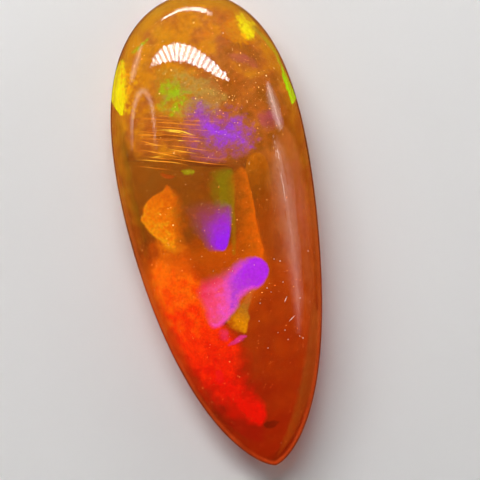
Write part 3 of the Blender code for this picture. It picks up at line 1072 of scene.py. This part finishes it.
# %% Scatter pinfire flakes through the stone
PINFIRE_COUNT = 720
GOLD_DUSTING = (238, 84, 20, 22)
GOLD_DUSTING_SHARE = 0.15
FLAKES_ACROSS = (115, 318)
FLAKES_DOWN = (10, 458)
FLAKE_DEPTHS = (0.1, 0.6)
FLAKE_COLOURS = ((246, 136, 52), (255, 190, 104), (255, 236, 184))
FLAKE_SIZE = 0.0095
LOWEST_FLAKE = 0.3
DULLER_BELOW = 300
flake_finish = flash_finish("pinfire_light", FLAKE_COLOURS, (215, 200), 0.35, drift=0.0, ragged=0.0,
                            patchy=0.0, boost=2.6)
flakes = bmesh.new()
flake_fade = flakes.verts.layers.float.new("fade")
flake_sweep = flakes.verts.layers.float.new("sweep")
laid = 0
while laid < PINFIRE_COUNT:
    across, down = dice.uniform(*FLAKES_ACROSS), dice.uniform(*FLAKES_DOWN)
    if dice.uniform() < GOLD_DUSTING_SHARE:
        across, down = dice.normal(GOLD_DUSTING[:2], GOLD_DUSTING[2:])
    centre = inside(across, down, dice.uniform(*FLAKE_DEPTHS))
    if centre is None or centre.z < LOWEST_FLAKE * MM:
        continue
    size = MM * FLAKE_SIZE * dice.lognormal(0.0, 0.45)
    turn = Quaternion(dice.normal(size=3).tolist(), dice.uniform(0, math.pi))
    flat = bmesh.ops.create_cone(flakes, cap_ends=True, segments=6, radius1=size, radius2=0.7 * size,
                                 depth=0.5 * size)
    shade = float(dice.beta(1.2, 2.2)) * (1.0 if down < DULLER_BELOW else 0.35)
    for vert in flat["verts"]:
        vert.co = centre + turn @ vert.co
        vert[flake_fade] = 1.0
        vert[flake_sweep] = shade
    laid += 1
piece_from(flakes, "pinfire", flake_finish)

# %% [markdown]
# A few grains of dust and two short hairs of lint rest on the polish of the lower right side. They are part
# of how the stone looks in its photograph, so they stay: rough little grains, and fibres thinner than a
# hair. The grains that can be picked out were traced, and finer ones are thrown around them.

# %% Lay dust and lint on the polish
DUST = (
    (267, 288), (271, 292), (260, 303.5), (283, 282), (300, 298), (308, 251), (274, 259), (280, 261),
    (288, 339.5), (278, 332.6), (285, 330), (299.6, 336), (303, 338), (268, 348), (232.6, 271),
)
LINT = (
    ((284.7, 302.4), (285.4, 299.6), (286.9, 296.6)),
    ((288.9, 321.5), (291.6, 318.6), (295, 315.4)),
)
TRACED_GRAIN = 0.022
FINE_GRAIN = 0.006
GRAIN_COUNT = 120
DUST_ACROSS = (120, 316)
DUST_DOWN = (120, 450)
FIBRE_RADIUS = 0.010
FIBRE_LIFT = 0.008
dust_finish, tree, shader = new_finish("pale_dust")
pale = blend(tree, grain(tree, 0.05), (0.82, 0.66, 0.60, 1), (0.95, 0.86, 0.80, 1))
tree.links.new(pale, shader.inputs["Base Color"])
shader.inputs["Roughness"].default_value = 0.8
grains = bmesh.new()
spots = [(*spot, TRACED_GRAIN) for spot in DUST]
while len(spots) < GRAIN_COUNT:
    across, down = dice.uniform(*DUST_ACROSS), dice.uniform(*DUST_DOWN)
    spots.append((across, down, FINE_GRAIN * dice.lognormal(0.0, 0.35)))
for across, down, radius in spots:
    hit, normal, _ = sight(across, down)
    if hit is None or normal.z < 0.4:
        continue
    ball = bmesh.ops.create_icosphere(grains, subdivisions=1, radius=radius * MM)
    for vert in ball["verts"]:
        vert.co = hit + normal * (0.3 * radius * MM) + vert.co * dice.uniform(0.7, 1.2)
piece_from(grains, "dust", dust_finish)
fibres = bmesh.new()
for path in LINT:
    lying = []
    for across, down in smooth_path(path):
        hit, normal, _ = sight(across, down)
        lying.append(hit + normal * (FIBRE_LIFT * MM))
    add_thread(fibres, lying, FIBRE_RADIUS, 0.5)
piece_from(fibres, "lint", dust_finish)

# %% [markdown]
# A plain pale floor and soft studio light suit a clear stone: the floor glows through the honey from below.
# The world is kept dark overhead, where a polished dome facing the camera would mirror it as a grey veil,
# and brighter near the horizon. The photograph was taken over black, so its rim is dark and warm. To keep
# that over a pale floor, the floor is hidden from mirror rays, and those rays see the world as a dim warm
# room instead.

# %% Floor and surrounding light
FLOOR_SIZE = 1.2
FLOOR_DROP = 0.02
FLOOR_GREY = (0.74, 0.73, 0.72)
ground = bmesh.new()
bmesh.ops.create_grid(ground, x_segments=1, y_segments=1, size=FLOOR_SIZE / 2)
floor_finish, tree, shader = new_finish("pale_floor")
shader.inputs["Base Color"].default_value = (*FLOOR_GREY, 1)
shader.inputs["Roughness"].default_value = 0.9
floor = put_in_scene("floor", ground, floor_finish)
floor.location.z = -FLOOR_DROP * MM
floor.visible_glossy = False

OVERHEAD = 0.05
HORIZON = 0.42
LIGHT_FALLS_FROM = 0.15
LIGHT_FALLS_TO = 0.85
MIRRORED_ROOM = (0.32, 0.09, 0.02)
world = bpy.data.worlds.new("studio")
bpy.context.scene.world = world
world.use_nodes = True
tree = world.node_tree
direction = add_node(tree, "ShaderNodeTexCoord").outputs["Generated"]
up = add_node(tree, "ShaderNodeSeparateXYZ", ((0, direction),)).outputs["Z"]
level = spread(tree, up, LIGHT_FALLS_FROM, LIGHT_FALLS_TO, HORIZON, OVERHEAD, shape="SMOOTHSTEP")
is_mirror = add_node(tree, "ShaderNodeLightPath").outputs["Is Glossy Ray"]
room = blend(tree, is_mirror, (1, 1, 1, 1), (*MIRRORED_ROOM, 1))
tree.links.new(room, tree.nodes["Background"].inputs["Color"])
tree.links.new(level, tree.nodes["Background"].inputs["Strength"])
bpy.context.scene.view_settings.view_transform = "Standard"
print("world light runs from", HORIZON, "at the horizon to", OVERHEAD, "overhead")

# %% [markdown]
# The highlights in the photograph are mirror images of its lamps: a wide bright arc, a thin arc above it
# and soft streaks down both flanks. Each is given here as the path and the breadth of the highlight in the
# picture, and the mirror of the dome itself says where the lamp must hang. Each lamp is a bent strip of
# light, brightest along its middle, because a flat square lamp would mirror as a hard straight bar. The
# main arc is a row of small lights, so its strip is split into cells with darker gaps. Any part of a strip
# that would fall below the floor is left out.

# %% Hang soft lamps where the mirror wants them
LAMP_DISTANCE = 150.0
LAMP_STEPS = 12
PATH_STEPS = 16
GAP_DARKNESS = 0.8
LOWEST_LAMP = 1.0
END_GLOW = 0.2
END_RISE = 6


def mirrored(across, down):
    hit, normal, _ = sight(across, down)
    aim = (hit - eye).normalized()
    back = aim - 2 * aim.dot(normal) * normal
    return hit + back * (LAMP_DISTANCE * MM)


def soft_lamp(name, path, brightness, softness, cells=0):
    dense = smooth_path(path, PATH_STEPS)
    skin = bmesh.new()
    glow = skin.verts.layers.float.new("glow")
    rows = []
    for place, (across, down, width) in enumerate(dense):
        ahead = dense[min(place + 1, len(dense) - 1)] - dense[max(place - 1, 0)]
        lean = Vector((-ahead[1], ahead[0])).normalized() * (width / 2)
        share = place / (len(dense) - 1)
        ends = min(1.0, END_RISE * share + END_GLOW, END_RISE * (1 - share) + END_GLOW)
        cell = 1.0 - GAP_DARKNESS * (cells > 0) * (0.5 + 0.5 * math.cos(2 * math.pi * cells * share))
        row = []
        for part in range(LAMP_STEPS + 1):
            offset = 2 * part / LAMP_STEPS - 1
            spot = mirrored(across + offset * lean[0], down + offset * lean[1])
            vert = skin.verts.new(spot)
            vert[glow] = ends * cell * min(1.0, (1 - abs(offset)) / softness) ** 2
            row.append(vert)
        rows.append(row)
    for row, following in zip(rows, rows[1:]):
        for part in range(LAMP_STEPS):
            corners = (row[part], row[part + 1], following[part + 1], following[part])
            if min(corner.co.z for corner in corners) > LOWEST_LAMP * MM:
                skin.faces.new(corners)
    bmesh.ops.delete(skin, geom=[vert for vert in skin.verts if not vert.link_faces], context="VERTS")
    finish, tree, shader = new_finish(name + "_glow")
    lit = add_node(tree, "ShaderNodeAttribute", attribute_name="glow").outputs["Fac"]
    shader.inputs["Base Color"].default_value = (0, 0, 0, 1)
    shader.inputs["Emission Strength"].default_value = brightness
    tree.links.new(lit, shader.inputs["Emission Color"])
    lamp = put_in_scene(name, skin, finish)
    lamp.visible_camera = False
    print(name, "hangs as a strip of", len(lamp.data.polygons), "faces")


MAIN_ARC = (
    (150.5, 66.5, 3), (157.5, 60, 10), (166, 54.5, 16), (176, 52, 19), (187, 54, 18), (197, 58.5, 16),
    (207, 64, 13), (217, 71, 9.5), (225, 77.5, 6), (229, 81, 3),
)
THIN_ARC = (
    (160, 22, 1.5), (165, 18, 2.5), (171, 14.5, 3.5), (178, 11, 4.2), (186, 9.2, 4.6), (195, 8.6, 5),
    (204, 10.8, 6), (212, 14.5, 4),
)
RIGHT_STREAK = (
    (275, 134, 6), (279, 155, 20), (284, 185, 30), (289, 215, 30), (293, 250, 26), (297, 290, 18),
    (299, 335, 8),
)
RIGHT_GLINT = ((273, 136, 3), (277, 152, 8), (281, 170, 9), (285, 194, 8), (289, 220, 6), (292, 240, 3))
HIGH_STREAK = ((267, 80, 4), (271, 96, 13), (276, 113, 15), (281, 131, 9))
LEFT_HOOD = (
    (132, 152, 4), (132, 125, 6), (134, 108, 7), (138, 96, 9), (143, 91, 12), (148, 96, 9), (152, 108, 7),
    (154, 125, 6), (156, 150, 4),
)
LEFT_STREAK = ((142, 43, 4), (138, 57, 9), (134, 70, 10), (131, 83, 6))
soft_lamp("main_arc", MAIN_ARC, 40.0, 0.15, cells=19)
soft_lamp("thin_arc", THIN_ARC, 20.0, 0.5)
for name, path, brightness in (
    ("right_streak", RIGHT_STREAK, 2.8), ("right_glint", RIGHT_GLINT, 11.0),
    ("high_streak", HIGH_STREAK, 9.0), ("left_hood", LEFT_HOOD, 5.0), ("left_streak", LEFT_STREAK, 5.0),
):
    soft_lamp(name, path, brightness, 1.0)

# %% [markdown]
# Last, every piece is tied to the stone's root body so that it moves with the stone, and the number of
# pieces is printed.

# %% Tie the pieces to the stone
for piece in pieces:
    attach(piece, "root")
bpy.context.view_layer.update()
print("pieces:", len(pieces))
